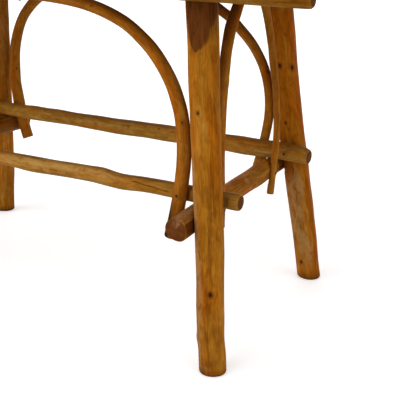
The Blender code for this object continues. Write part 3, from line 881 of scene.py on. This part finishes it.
def pole_course(pole):
    """Rings square to a straight pole."""
    way = pole.end - pole.start
    places = end_spacing(way.length, RING_STEP, POLE_EASE)
    axis = way.normalized()
    side = axis.cross(UPWARD).normalized()
    return straight_course(pole, places, places / way.length, side, side.cross(axis))


def leg_course(pole):
    """Level rings of a leg, from its sole to its head."""
    places = end_spacing(UNDERSIDE - CLEARANCE, RING_STEP, POLE_EASE)
    shares = (places + CUTTER_REACH) / (TOP_HEIGHT + CUTTER_REACH)
    return straight_course(pole, places, shares, LENGTHWISE, CROSSWISE)


def arch_course(arch):
    """Rings square to a bent twig, evenly spaced along it from its left or front foot."""
    low_points, low_radii = arch.half_path(-1)
    high_points, high_radii = arch.half_path(1)
    path = np.array(low_points[::-1] + high_points[1:])
    steps = np.linalg.norm(np.diff(path, axis=0), axis=1)
    lengths = np.concatenate([[0.0], np.cumsum(steps)])
    places = end_spacing(lengths[-1], RING_STEP, TWIG_EASE)
    radii = np.interp(places, lengths, low_radii[::-1] + high_radii[1:])
    centres = np.stack([np.interp(places, lengths, column) for column in path.T], 1)
    axes = np.gradient(centres, places, axis=0)
    axes /= np.linalg.norm(axes, axis=1)[:, None]
    middle = arch.place(0.0, 0.0)
    plane = (arch.place(1.0, 0.0) - middle).cross(arch.place(0.0, 1.0) - middle).normalized()
    return Course(centres, (np.cross(axes, plane), plane, axes), radii, places, TWIG_EASE)


def dressed_stick(name, stick, course, seed, material, sides, traits):
    """Natural surface over a pole's or twig's axis, planed down to its flats and nail seats."""
    draw = np.random.default_rng(seed)
    shape = (len(course.places), sides)
    angle = np.broadcast_to(np.linspace(0, 2 * math.pi, sides, endpoint=False), shape)
    along = np.broadcast_to(course.places[:, None], shape)
    radii = course.radii[:, None]
    grid = (along / MM, angle, radii / MM)

    def bend(label):
        return MM * bent(course.places / MM, traits.get(label, STRAIGHT))[:, None]

    def spread(label):
        return add_bumps(traits.get(label, ()), *grid)

    centres = course.centres + course.across * bend("sway") + course.upward * bend("lift")
    outward = (course.across[:, None, :] * np.cos(angle)[..., None]
               + course.upward[:, None, :] * np.sin(angle)[..., None])
    tilt = np.einsum("nmk,nk->nm", outward, course.axes)
    knot_height, knot_dark = add_knots(traits.get("knots", ()), *grid)
    crack_depth, crack_dark = add_cracks(traits.get("cracks", ()), *grid)
    drop = ease_drop(course.places, course.places[-1], course.ease)[:, None]
    surface = radii / np.sqrt(1 - tilt ** 2) + natural_height(draw, along, angle, radii)
    surface = surface + MM * (spread("bumps") + knot_height - crack_depth) - drop
    rims = np.clip(RIM_DARKENING * drop / course.ease, 0.0, RIM_DARK)
    # The stained marks add stains and painted shade to the dark of knots, cracks and rims.
    dark = np.maximum(np.maximum(knot_dark, crack_dark), np.clip(spread("stains_and_shade"), rims, 1.0))
    hewn = np.zeros(shape)

    def offset_from(point):
        return centres[:, None, :] + outward * surface[..., None] - np.array(point)

    def plane_down(point, normal, inside):
        """How far the surface stands over a plane where inside allows it, square and outward."""
        offset = offset_from(point)
        over = offset @ np.array(normal)
        facing = outward @ np.array(normal)
        hit = (over > 0) & (over < 2 * CUTTER_REACH) & (facing > LEAST_FACING) & inside(offset)
        return np.where(hit, over, 0.0), np.where(hit, over / np.where(hit, facing, 1.0), 0.0)

    for point, normal, way, (half_length, half_width) in stick.flats:
        beside = np.cross(np.array(way), np.array(normal))

        def in_flat(offset):
            return ((np.abs(offset @ np.array(way)) < half_length)
                    & (np.abs(offset @ beside) < half_width))

        over, lower = plane_down(point, normal, in_flat)
        surface = surface - lower
        stained = half_length < STAINED_FLAT_LENGTH or normal.z > STAINED_FLAT_RISE
        bare = STAINED_FLAT_BARE if stained else 1.0
        hewn = np.maximum(hewn, bare * limited(over / BARE_DEPTH))

    def in_seat(offset):
        return np.linalg.norm(offset, axis=-1) < NAIL_SEAT_RADIUS

    for head, normal in stick.heads:
        surface = surface - plane_down(head + normal * NAIL_SEAT_LIFT, normal, in_seat)[1]
        away = np.linalg.norm(offset_from(head), axis=-1)
        dark = np.maximum(dark, NAIL_STAIN * np.exp(-(away / NAIL_STAIN_RADIUS) ** 2))
    rings = centres[:, None, :] + outward * surface[..., None]
    grain = np.stack([surface * np.cos(angle), surface * np.sin(angle), along + seed], -1)
    end = np.broadcast_to(limited(RIM_END_GRAIN * drop / course.ease), shape)
    # The shaved marks count as hewn: a wider facet, and a painted shadow of the top.
    shaved_and_shade = limited(spread("shaved_and_shade"))
    marks = np.stack([np.maximum(hewn, shaved_and_shade), dark, end], -1)
    lightened = 2 * hewn * (1 - hewn) * (1 - shaved_and_shade)
    # The scuffed marks are worn wood and painted highlights.
    wear = limited(np.maximum(spread("scuffs_and_highlights"), lightened))
    return skin(name, rings, material, grain=grain, marks=marks, wear=wear[..., None])


def dressed_board(index, material):
    """Sawn plank with eased edges, a slightly wavy face and knots, inside its packed box."""
    draw = np.random.default_rng(BOARD_SEED + index)
    pitch = (TOP_LENGTH + BOARD_GAP) / BOARD_COUNT
    half = np.array([(pitch - BOARD_GAP) / 2, TOP_WIDTH / 2, BOARD_THICKNESS / 2])
    along = end_spacing(TOP_WIDTH, BOARD_RING_STEP, BOARD_EASE)
    corner = np.linspace(0, math.pi / 2, BOARD_CORNER_POINTS)
    outline = []
    for quarter, sign in enumerate(np.array([(1, 1), (-1, 1), (-1, -1), (1, -1)])):
        turn = corner + quarter * math.pi / 2
        middle = sign * (half[[0, 2]] - BOARD_EASE)
        outline.append(middle + BOARD_EASE * np.stack([np.cos(turn), np.sin(turn)], 1))
        if quarter % 2 == 0:
            span = np.linspace(1, -1, BOARD_FACE_POINTS)[1:-1, None] * sign[0]
            face = [span * (half[0] - BOARD_EASE), 0 * span + sign[1] * half[2]]
            outline.append(np.concatenate(face, 1))
    outline = np.concatenate(outline)
    drop = ease_drop(along, TOP_WIDTH, BOARD_EASE)
    section = outline[None] - np.sign(outline)[None] * drop[:, None, None]
    width = section[..., 0]
    length = np.broadcast_to(along[:, None], width.shape)
    dip = BOARD_WAVE * (1 + waves(draw, length + 0.8 * width, (0.31, 0.17, 0.083)))
    dip = dip + BOARD_CUP * (1 + waves(draw, 2 * width + 0.1 * length, (0.13, 0.05)))
    thick = section[..., 1] - np.sign(section[..., 1]) * np.clip(dip, 0.0, None)
    dark = np.zeros(width.shape)
    for _ in range(draw.integers(1, 4)):
        place = (draw.uniform(-0.8, 0.8) * half[0], draw.uniform(0.06, 0.56))
        size = draw.uniform(0.006, 0.012)
        reach = np.hypot(width - place[0], (length - place[1]) / 1.4) / size
        dark = np.maximum(dark, np.exp(-(reach / 0.8) ** 2))
    middle = (index - (BOARD_COUNT - 1) / 2) * pitch
    level = TOP_HEIGHT - BOARD_THICKNESS / 2
    rings = np.stack([middle + width, length - TOP_WIDTH / 2, level + thick], -1)
    pith = (draw.uniform(-0.04, 0.04), draw.uniform(-0.11, -0.06))
    grain = np.stack([width - pith[0], thick - pith[1], length + 3 * index], -1)
    end = np.zeros(width.shape)
    end[[0, -1]] = 1.0
    marks = np.stack([0 * dark, dark, end], -1)
    rim = limited(2.2 - 400 * np.minimum(half[0] - np.abs(width), length))
    name = f"top_board_{index + 1}_sawn"
    return skin(name, rings, material, grain=grain, marks=marks, wear=rim[..., None])


def dressed_nail(name, head, direction, length, seed):
    """Hand-forged nail with an uneven domed head. head is where the head bears."""
    draw = np.random.default_rng(seed)
    # Radius and height over the bearing, from the point to the top of the head
    profile = np.array([
        (0.0004, -length), (0.0014, 0.005 - length), (0.0016, -0.004), (0.0016, -0.0001),
        (0.0027, 0.0), (0.0030, 0.0004), (0.0028, 0.0008), (0.0022, 0.0011), (0.0012, 0.0013),
        (0.0004, NAIL_HEAD_HEIGHT),
    ])
    turn = np.linspace(0, 2 * math.pi, NAIL_SIDES, endpoint=False)
    uneven = np.ones_like(turn)
    for lobes, height in ((2, 0.05), (3, 0.04), (5, 0.03)):
        uneven = uneven + height * np.cos(lobes * turn + draw.uniform(0, 6))
    axis = np.array(-direction)
    side = np.array(direction.orthogonal().normalized())
    front = np.cross(axis, side)
    spokes = (np.cos(turn)[:, None] * side + np.sin(turn)[:, None] * front) * uneven[:, None]
    rings = np.array(head) + profile[:, 1, None, None] * axis + profile[:, 0, None, None] * spokes
    return skin(name, rings, iron)


# Staging

def turned(turn, height, roll=0.0):
    """Rotation of a camera or lamp that looks or shines from a turn and a height angle."""
    tip = Matrix.Rotation(math.pi / 2 - height, 4, "X")
    return Matrix.Rotation(turn, 4, "Z") @ tip @ Matrix.Rotation(roll, 4, "Z")


def camera():
    data = bpy.data.cameras.new("photo_camera")
    data.lens = CAMERA_LENS
    data.sensor_width = CAMERA_SENSOR
    data.clip_end = VIEW_REACH
    eye = put("photo_camera", data)
    turn = turned(CAMERA_TURN, CAMERA_PITCH, CAMERA_ROLL)
    eye.matrix_world = Matrix.Translation(CAMERA_PLACE) @ turn
    bpy.context.scene.camera = eye


def seen_rays(nodes):
    """1 for the rays that see the background: camera, glossy and transmission rays."""
    camera_ray, glossy_ray, through_ray = (
        nodes.node("LightPath", f"Is {kind} Ray", {})
        for kind in ("Camera", "Glossy", "Transmission"))
    return nodes.math("MAXIMUM", nodes.math("MAXIMUM", camera_ray, glossy_ray), through_ray)


def world():
    """White surroundings that light the object evenly."""
    sky = bpy.data.worlds.new("white_surroundings")
    sky.use_nodes = True
    nodes = Nodes(sky.node_tree)
    levels = {"Value": seen_rays(nodes), "To Min": AMBIENT, "To Max": 1.0}
    strength = nodes.node("MapRange", "Result", levels)
    nodes.feed(nodes.tree.nodes["Background"], {"Color": WHITE, "Strength": strength})
    bpy.context.scene.world = sky


def floor():
    """White floor that keeps the table's soft shadow and meets the white surroundings."""
    shape = bmesh.new()
    bmesh.ops.create_circle(shape, cap_ends=True, segments=FLOOR_SIDES, radius=FLOOR_RADIUS)
    mesh = bpy.data.meshes.new("white_floor")
    shape.to_mesh(mesh)
    shape.free()
    finish = Finish("white_floor")
    mesh.materials.append(finish.shaded({
        "Base Color": FLOOR_COLOUR,
        "Roughness": 0.9,
        "Emission Color": WHITE,
        "Emission Strength": finish.times(seen_rays(finish), FLOOR_GLOW),
    }))
    ground = put("white_floor", mesh)
    ground.location.z = -CLEARANCE


def lamp(name, turn, height, strength):
    """Soft distant lamp. turn and height are the angles that its light comes from."""
    data = bpy.data.lights.new(name, "SUN")
    data.energy = strength
    data.angle = LAMP_SOFTNESS
    put(name, data).matrix_world = turned(math.radians(turn), math.radians(height))


camera()
world()
floor()
lamp("front_lamp", turn=-32.0, height=14.0, strength=2.9)
lamp("side_lamp", turn=82.0, height=10.0, strength=1.8)
lamp("back_lamp", turn=207.0, height=10.0, strength=1.4)

nails = {}
legs = {key: plan_leg(key) for key in LEG_PLACES}
rails = {label: plan_rail(label) for label in ("front", "back")}
long_stretchers = {label: plan_long_stretcher(label) for label in ("front", "back")}
short_stretchers = {label: plan_short_stretcher(label) for label in ("right", "left")}
join_stretchers()
for pole in short_stretchers.values():
    hew_ends(pole)
arches = {
    "long_arch_front": plan_long_arch("front", -1),
    "long_arch_back": plan_long_arch("back", 1),
    "short_arch_right": plan_short_arch("right", 1),
    "short_arch_left": plan_short_arch("left", -1),
}

# In these palettes the pale worn colour also paints highlights, and the halo colour also paints
# shade.
LEG_TONES = {
    "deep": (0.18, 0.058, 0.004), "mid": (0.30, 0.116, 0.008), "pale": (0.43, 0.196, 0.032),
    "streak": (0.11, 0.030, 0.002), "cut": (0.115, 0.034, 0.007), "cut_dark": (0.06, 0.016, 0.003),
    "end": (0.105, 0.040, 0.013), "end_dark": (0.07, 0.024, 0.008), "worn_and_highlight": (0.33, 0.17, 0.06),
    "halo": (0.10, 0.027, 0.003), "knot": (0.024, 0.008, 0.003),
}
RUDDY_TONES = {
    **LEG_TONES, "deep": (0.16, 0.042, 0.002), "mid": (0.27, 0.085, 0.004),
    "pale": (0.37, 0.145, 0.014), "streak": (0.10, 0.024, 0.002), "worn_and_highlight": (0.32, 0.2, 0.07),
}
STRETCHER_TONES = {
    **LEG_TONES, "deep": (0.19, 0.078, 0.009), "mid": (0.29, 0.140, 0.020),
    "pale": (0.44, 0.240, 0.062), "streak": (0.12, 0.042, 0.005), "worn_and_highlight": (0.41, 0.245, 0.075),
}
# Darker wood for the short stretchers, standing in for their shade: painted shade, with end colours
# of their own.
SHADED_SHORT_STRETCHER_TONES = {
    **LEG_TONES, "deep": (0.135, 0.038, 0.003), "mid": (0.24, 0.090, 0.009),
    "pale": (0.38, 0.180, 0.035), "streak": (0.08, 0.022, 0.003), "worn_and_highlight": (0.40, 0.22, 0.10),
    "end": (0.115, 0.036, 0.009), "end_dark": (0.085, 0.025, 0.006),
}
TWIG_TONES = {
    **LEG_TONES, "deep": (0.19, 0.062, 0.005), "mid": (0.29, 0.110, 0.010),
    "pale": (0.42, 0.185, 0.032),
}
BOARD_TONES = {
    **LEG_TONES, "deep": (0.19, 0.066, 0.006), "mid": (0.28, 0.108, 0.011),
    "pale": (0.37, 0.160, 0.026),
}
leg_wood = wood_finish("peeled_leg_wood", LEG_TONES, roughness=0.44)
ruddy_wood = wood_finish("peeled_ruddy_wood", RUDDY_TONES, roughness=0.44)
stretcher_wood = wood_finish("peeled_stretcher_wood", STRETCHER_TONES, roughness=0.46)
# The short stretchers' wood, made darker as painted shade.
shaded_short_wood = wood_finish("peeled_short_stretcher_wood_painted_shade", SHADED_SHORT_STRETCHER_TONES, roughness=0.46)
twig_wood = wood_finish("peeled_twig_wood", TWIG_TONES, roughness=0.44)
board_woods = []
for shade in (0.84, 1.0, 1.14):
    tones = {key: tuple(shade * part for part in tone) for key, tone in BOARD_TONES.items()}
    name = f"plank_wood_{len(board_woods) + 1}"
    board_woods.append(wood_finish(name, tones, roughness=0.4, ring_rate=900.0, ring_share=0.4))
iron = iron_finish()

RUDDY_LEGS = ("back_right",)
BOARD_SHADES = (1, 0, 2, 1, 1, 2, 0, 1, 0)


def all_round(place, length, rise):
    """Bump or mark that goes all round a stick: so wide that it is the same at every angle."""
    return place, 0, length, 1000, rise


# What single sticks have of their own, with lengths in millimetres and angles in degrees.
# Bumps have a height, and shaved, scuffed and stained marks a strength, as in add_bumps. The
# shaved marks are partly hewn wood and partly a painted shadow of the top, the scuffed marks
# partly wear and partly painted highlights, and the stained marks partly stains and partly
# painted shade. sway and lift are the stops of the bends across and upward, as in bent. The
# foot mark darkens the wood all round the edge of a foot.
FOOT_EDGE_DARKENING = all_round(0, 12, 0.6)
TRAITS = {
    "leg_front_right": dict(
        knots=((500, -91, 4.6), (163, -64, 7.2), (641, -102, 3.5)),
        # The shaved marks widen the hewn facet and paint the shadow of the top across the head of
        # the leg.
        shaved_and_shade=(
            (700, -15, 28, 35, 1), (668, -50, 18, 17, 1), (640, -58, 16, 11, 0.9),
            (622, -76, 10, 7, 0.8)),
        # The pale bands down the left side of the leg are painted highlight.
        scuffs_and_highlights=(
            (140, -118, 120, 10, 1), (330, -122, 100, 6, 0.6), (300, -142, 300, 11, 0.55),
            (16, -92, 6, 12, 0.8)),
        stains_and_shade=(
            FOOT_EDGE_DARKENING, (30, -60, 20, 20, 0.25), (75, -80, 30, 6, 0.28), (100, -52, 40, 5, 0.3),
            (60, -35, 25, 7, 0.25), (12, -108, 12, 9, 0.18), (26, -80, 7, 10, 0.22)),
        bumps=(
            (440, -152, 120, 25, 1.2), (68, -150, 10, 14, 1.4), all_round(150, 60, -0.4),
            all_round(270, 50, 0.6)),
        sway=((0, 1.4), (36, 1.1), (66, -0.6), (120, 0.6), (180, 1.4), (300, 1.2), (420, 0))),
    "leg_back_right": dict(
        knots=((539, -82, 6.6), (535, -34, 7.6), (405, -88, 4.5), (48, -102, 6)),
        scuffs_and_highlights=(
            (140, -88, 100, 14, 0.9), (250, -66, 60, 12, 0.9), (80, -52, 50, 11, 0.7),
            (200, -102, 60, 7, 0.8), (190, -128, 90, 14, 0.8)),
        stains_and_shade=(FOOT_EDGE_DARKENING, (20, -70, 20, 30, 0.25), (200, -20, 150, 8, 0.3)),
        bumps=(all_round(50, 80, -1.4), all_round(430, 70, -0.8)),
        sway=(
            (0, 0.8), (90, 1.2), (180, -0.8), (270, -3), (380, -5.4), (530, -5.4), (620, -0.8),
            (750, 1))),
    "leg_back_left": dict(
        knots=((200, -60, 4), (470, 20, 4)),
        # Painted light on the shaded head of the leg.
        scuffs_and_highlights=((560, -40, 140, 40, 0.55),),
        # The broad dark mark over the lower leg is painted shade.
        stains_and_shade=(FOOT_EDGE_DARKENING, (80, -60, 160, 200, 0.27)),
        sway=((0, 4.5), (200, 3.6), (380, 2.6), (500, 2.4), (560, -1.2)),
        lift=((0, -4), (200, 0))),
    "leg_front_left": dict(
        knots=((310, -100, 4.5), (580, -40, 3.5)),
        stains_and_shade=(FOOT_EDGE_DARKENING,)),
    "long_stretcher_front": dict(
        cracks=(((767, 33), (870, -2), 0.9),),
        # Pale lines along the upper front and a broad paler front: partly pale rubbed wood, partly
        # painted highlight.
        scuffs_and_highlights=((640, 36, 90, 5, 0.9), (480, 30, 70, 5, 0.8), (580, 0, 240, 30, 0.5)),
        # The marks along the top and the underside are painted shade; the one at the right end
        # darkens its tone.
        stains_and_shade=(
            (1000, 20, 40, 30, 0.2), (800, 88, 90, 12, 0.42), (500, 92, 200, 10, 0.36),
            (600, -62, 300, 8, 0.3)),
        bumps=(
            (690, 80, 25, 20, 2.2), (530, -72, 70, 13, 2.2), (700, -72, 20, 13, 1.2),
            (820, -72, 50, 14, -2.4), (660, 85, 40, 14, 1.4), (500, -75, 40, 14, 1.4),
            all_round(1020, 8, -3)),
        lift=((560, 0), (620, 1), (690, 0.8), (742, -2.6), (800, -0.4), (860, 0))),
    "long_stretcher_back": dict(
        knots=((620, 40, 3),),
        scuffs_and_highlights=((972, 30, 20, 12, 0.4), (450, 8, 150, 7, 0.6)),
        # The mark along the top is painted shade with some dirt; the last two are knots.
        stains_and_shade=(
            (500, 88, 500, 14, 0.4), (600, 30, 600, 60, 0.12), (930, 60, 120, 30, 0.25),
            (429, 7, 5, 4, 0.4), (530, 22, 5, 4, 0.4)),
        bumps=(
            (480, -72, 45, 14, 2.4), (620, 108, 60, 14, 1.2), (220, 84, 30, 14, 2),
            (330, -80, 50, 14, -1.5), (480, 88, 50, 14, -2), (1016, 80, 13, 24, -9),
            all_round(840, 50, 1.4), all_round(600, 120, 0.9), (580, -75, 40, 14, -1),
            (290, 85, 35, 14, 1.4), (860, -78, 40, 14, 1.4), (905, -65, 20, 14, 1.5),
            (870, 85, 30, 14, -1.6)),
        lift=((960, 0), (1014, -2))),
    "short_stretcher_right": dict(
        # The pale spot on the knot bump and the paler top near the front end are painted highlight.
        scuffs_and_highlights=((289, 44, 8, 6, 1), (3, 66, 5, 6, 0.8), (50, 96, 60, 20, 0.95)),
        stains_and_shade=((15, 12, 40, 14, 0.5),),
        bumps=(
            (289, 44, 10, 9, 3.5), (20, -55, 60, 18, 3), (390, 82, 50, 20, 4.2),
            (370, -70, 60, 18, 1.6), (420, 84, 25, 16, 4)),
        lift=((120, 0), (200, -1.8), (360, -1.8), (430, 0))),
    "short_stretcher_left": dict(
        # Painted shade under the back long stretcher.
        stains_and_shade=((400, 0, 250, 30, 0.3),)),
    "top_rail_front": dict(
        bumps=(all_round(1266, 6, -2.4),)),
    "long_arch_front": dict(
        knots=((1212, 118, 3), (913, 105, 3)),
        # Painted shade: the dark outer side over the shoulder and the shaded side of the right
        # foot.
        stains_and_shade=(
            (980, 180, 190, 19, 0.66), (1415, 28, 50, 13, 0.8), (1400, 90, 50, 20, 0.28),
            (1447, 66, 20, 14, 0.5), (1420, 8, 40, 12, 0.35)),
        bumps=(all_round(880, 140, -1.1), all_round(1110, 100, -0.9), all_round(1000, 60, -0.6)),
        sway=(
            (600, 0), (760, -3.2), (980, -3.2), (1040, -0.6), (1100, 0.8), (1160, -0.2),
            (1200, -1.6), (1260, -2), (1330, 0))),
    "long_arch_back": dict(
        knots=((199, 30, 3), (1157, 140, 3)),
        # Painted shade: the dark outer side and the dark top under the table top.
        stains_and_shade=((1080, 175, 120, 7, 0.45), all_round(970, 60, 0.4)),
        bumps=(all_round(340, 120, -1.4), all_round(100, 35, 1.1), (1370, 168, 30, 18, 5)),
        sway=(
            (0, 0), (30, 0.6), (80, 2.6), (120, 3), (180, -0.6), (240, -0.8), (300, 0.8),
            (370, -0.4), (430, -3), (520, 0), (850, 0), (940, -8), (990, -5), (1050, 0.1),
            (1100, -0.6), (1150, -1.8), (1230, -1.7), (1310, 0), (1370, -1.5), (1460, -4.5))),
    "short_arch_right": dict(
        knots=((297, 75, 3),),
        # Painted shade: the dark outer side, the shaded foot and the dark upper part under the
        # table top.
        stains_and_shade=(
            (400, 195, 160, 12, 0.46), (20, 100, 30, 20, 0.4), (850, 90, 250, 20, 0.2),
            (750, 30, 160, 6, 0.25), all_round(420, 70, 0.18)),
        bumps=(all_round(420, 45, 1.4),),
        sway=((0, -6), (60, 0)),
        lift=(
            (0, -0.6), (60, 0), (200, 0), (270, -0.4), (320, -1), (360, -2.4), (400, -3),
            (440, -1), (600, 2), (700, 0), (930, 0), (1000, -2))),
}


def dress_stick(name, stick, course, seed, wood, sides):
    """Puts a pole or twig with its traits in the model."""
    traits = TRAITS.get(name, {})
    piece = dressed_stick(name + "_peeled", stick, course, seed, wood, sides, traits)
    dress(piece, name)


for seed, (key, pole) in enumerate(legs.items(), LEG_SEED):
    wood = ruddy_wood if key in RUDDY_LEGS else leg_wood
    dress_stick("leg_" + key, pole, leg_course(pole), seed, wood, LEG_SIDES)

poles = {f"long_stretcher_{label}": pole for label, pole in long_stretchers.items()}
poles.update({f"short_stretcher_{label}": pole for label, pole in short_stretchers.items()})
poles.update({f"top_rail_{label}": pole for label, pole in rails.items()})
for seed, (name, pole) in enumerate(poles.items(), POLE_SEED):
    wood = shaded_short_wood if name.startswith("short") else stretcher_wood
    slot = "rail_wood" if "rail" in name else "stretcher_wood"
    dress_stick(name, pole, pole_course(pole), seed, wood, POLE_SIDES)

for seed, (name, arch) in enumerate(arches.items(), TWIG_SEED):
    dress_stick(name, arch, arch_course(arch), seed, twig_wood, TWIG_SIDES)

for index, shade in enumerate(BOARD_SHADES):
    dress(dressed_board(index, board_woods[shade]), f"top_board_{index + 1}")

for seed, (name, (head, direction, length)) in enumerate(nails.items(), NAIL_SEED):
    dress(dressed_nail(name + "_forged", head, direction, length, seed), name)

bpy.context.scene.view_settings.view_transform = "Standard"
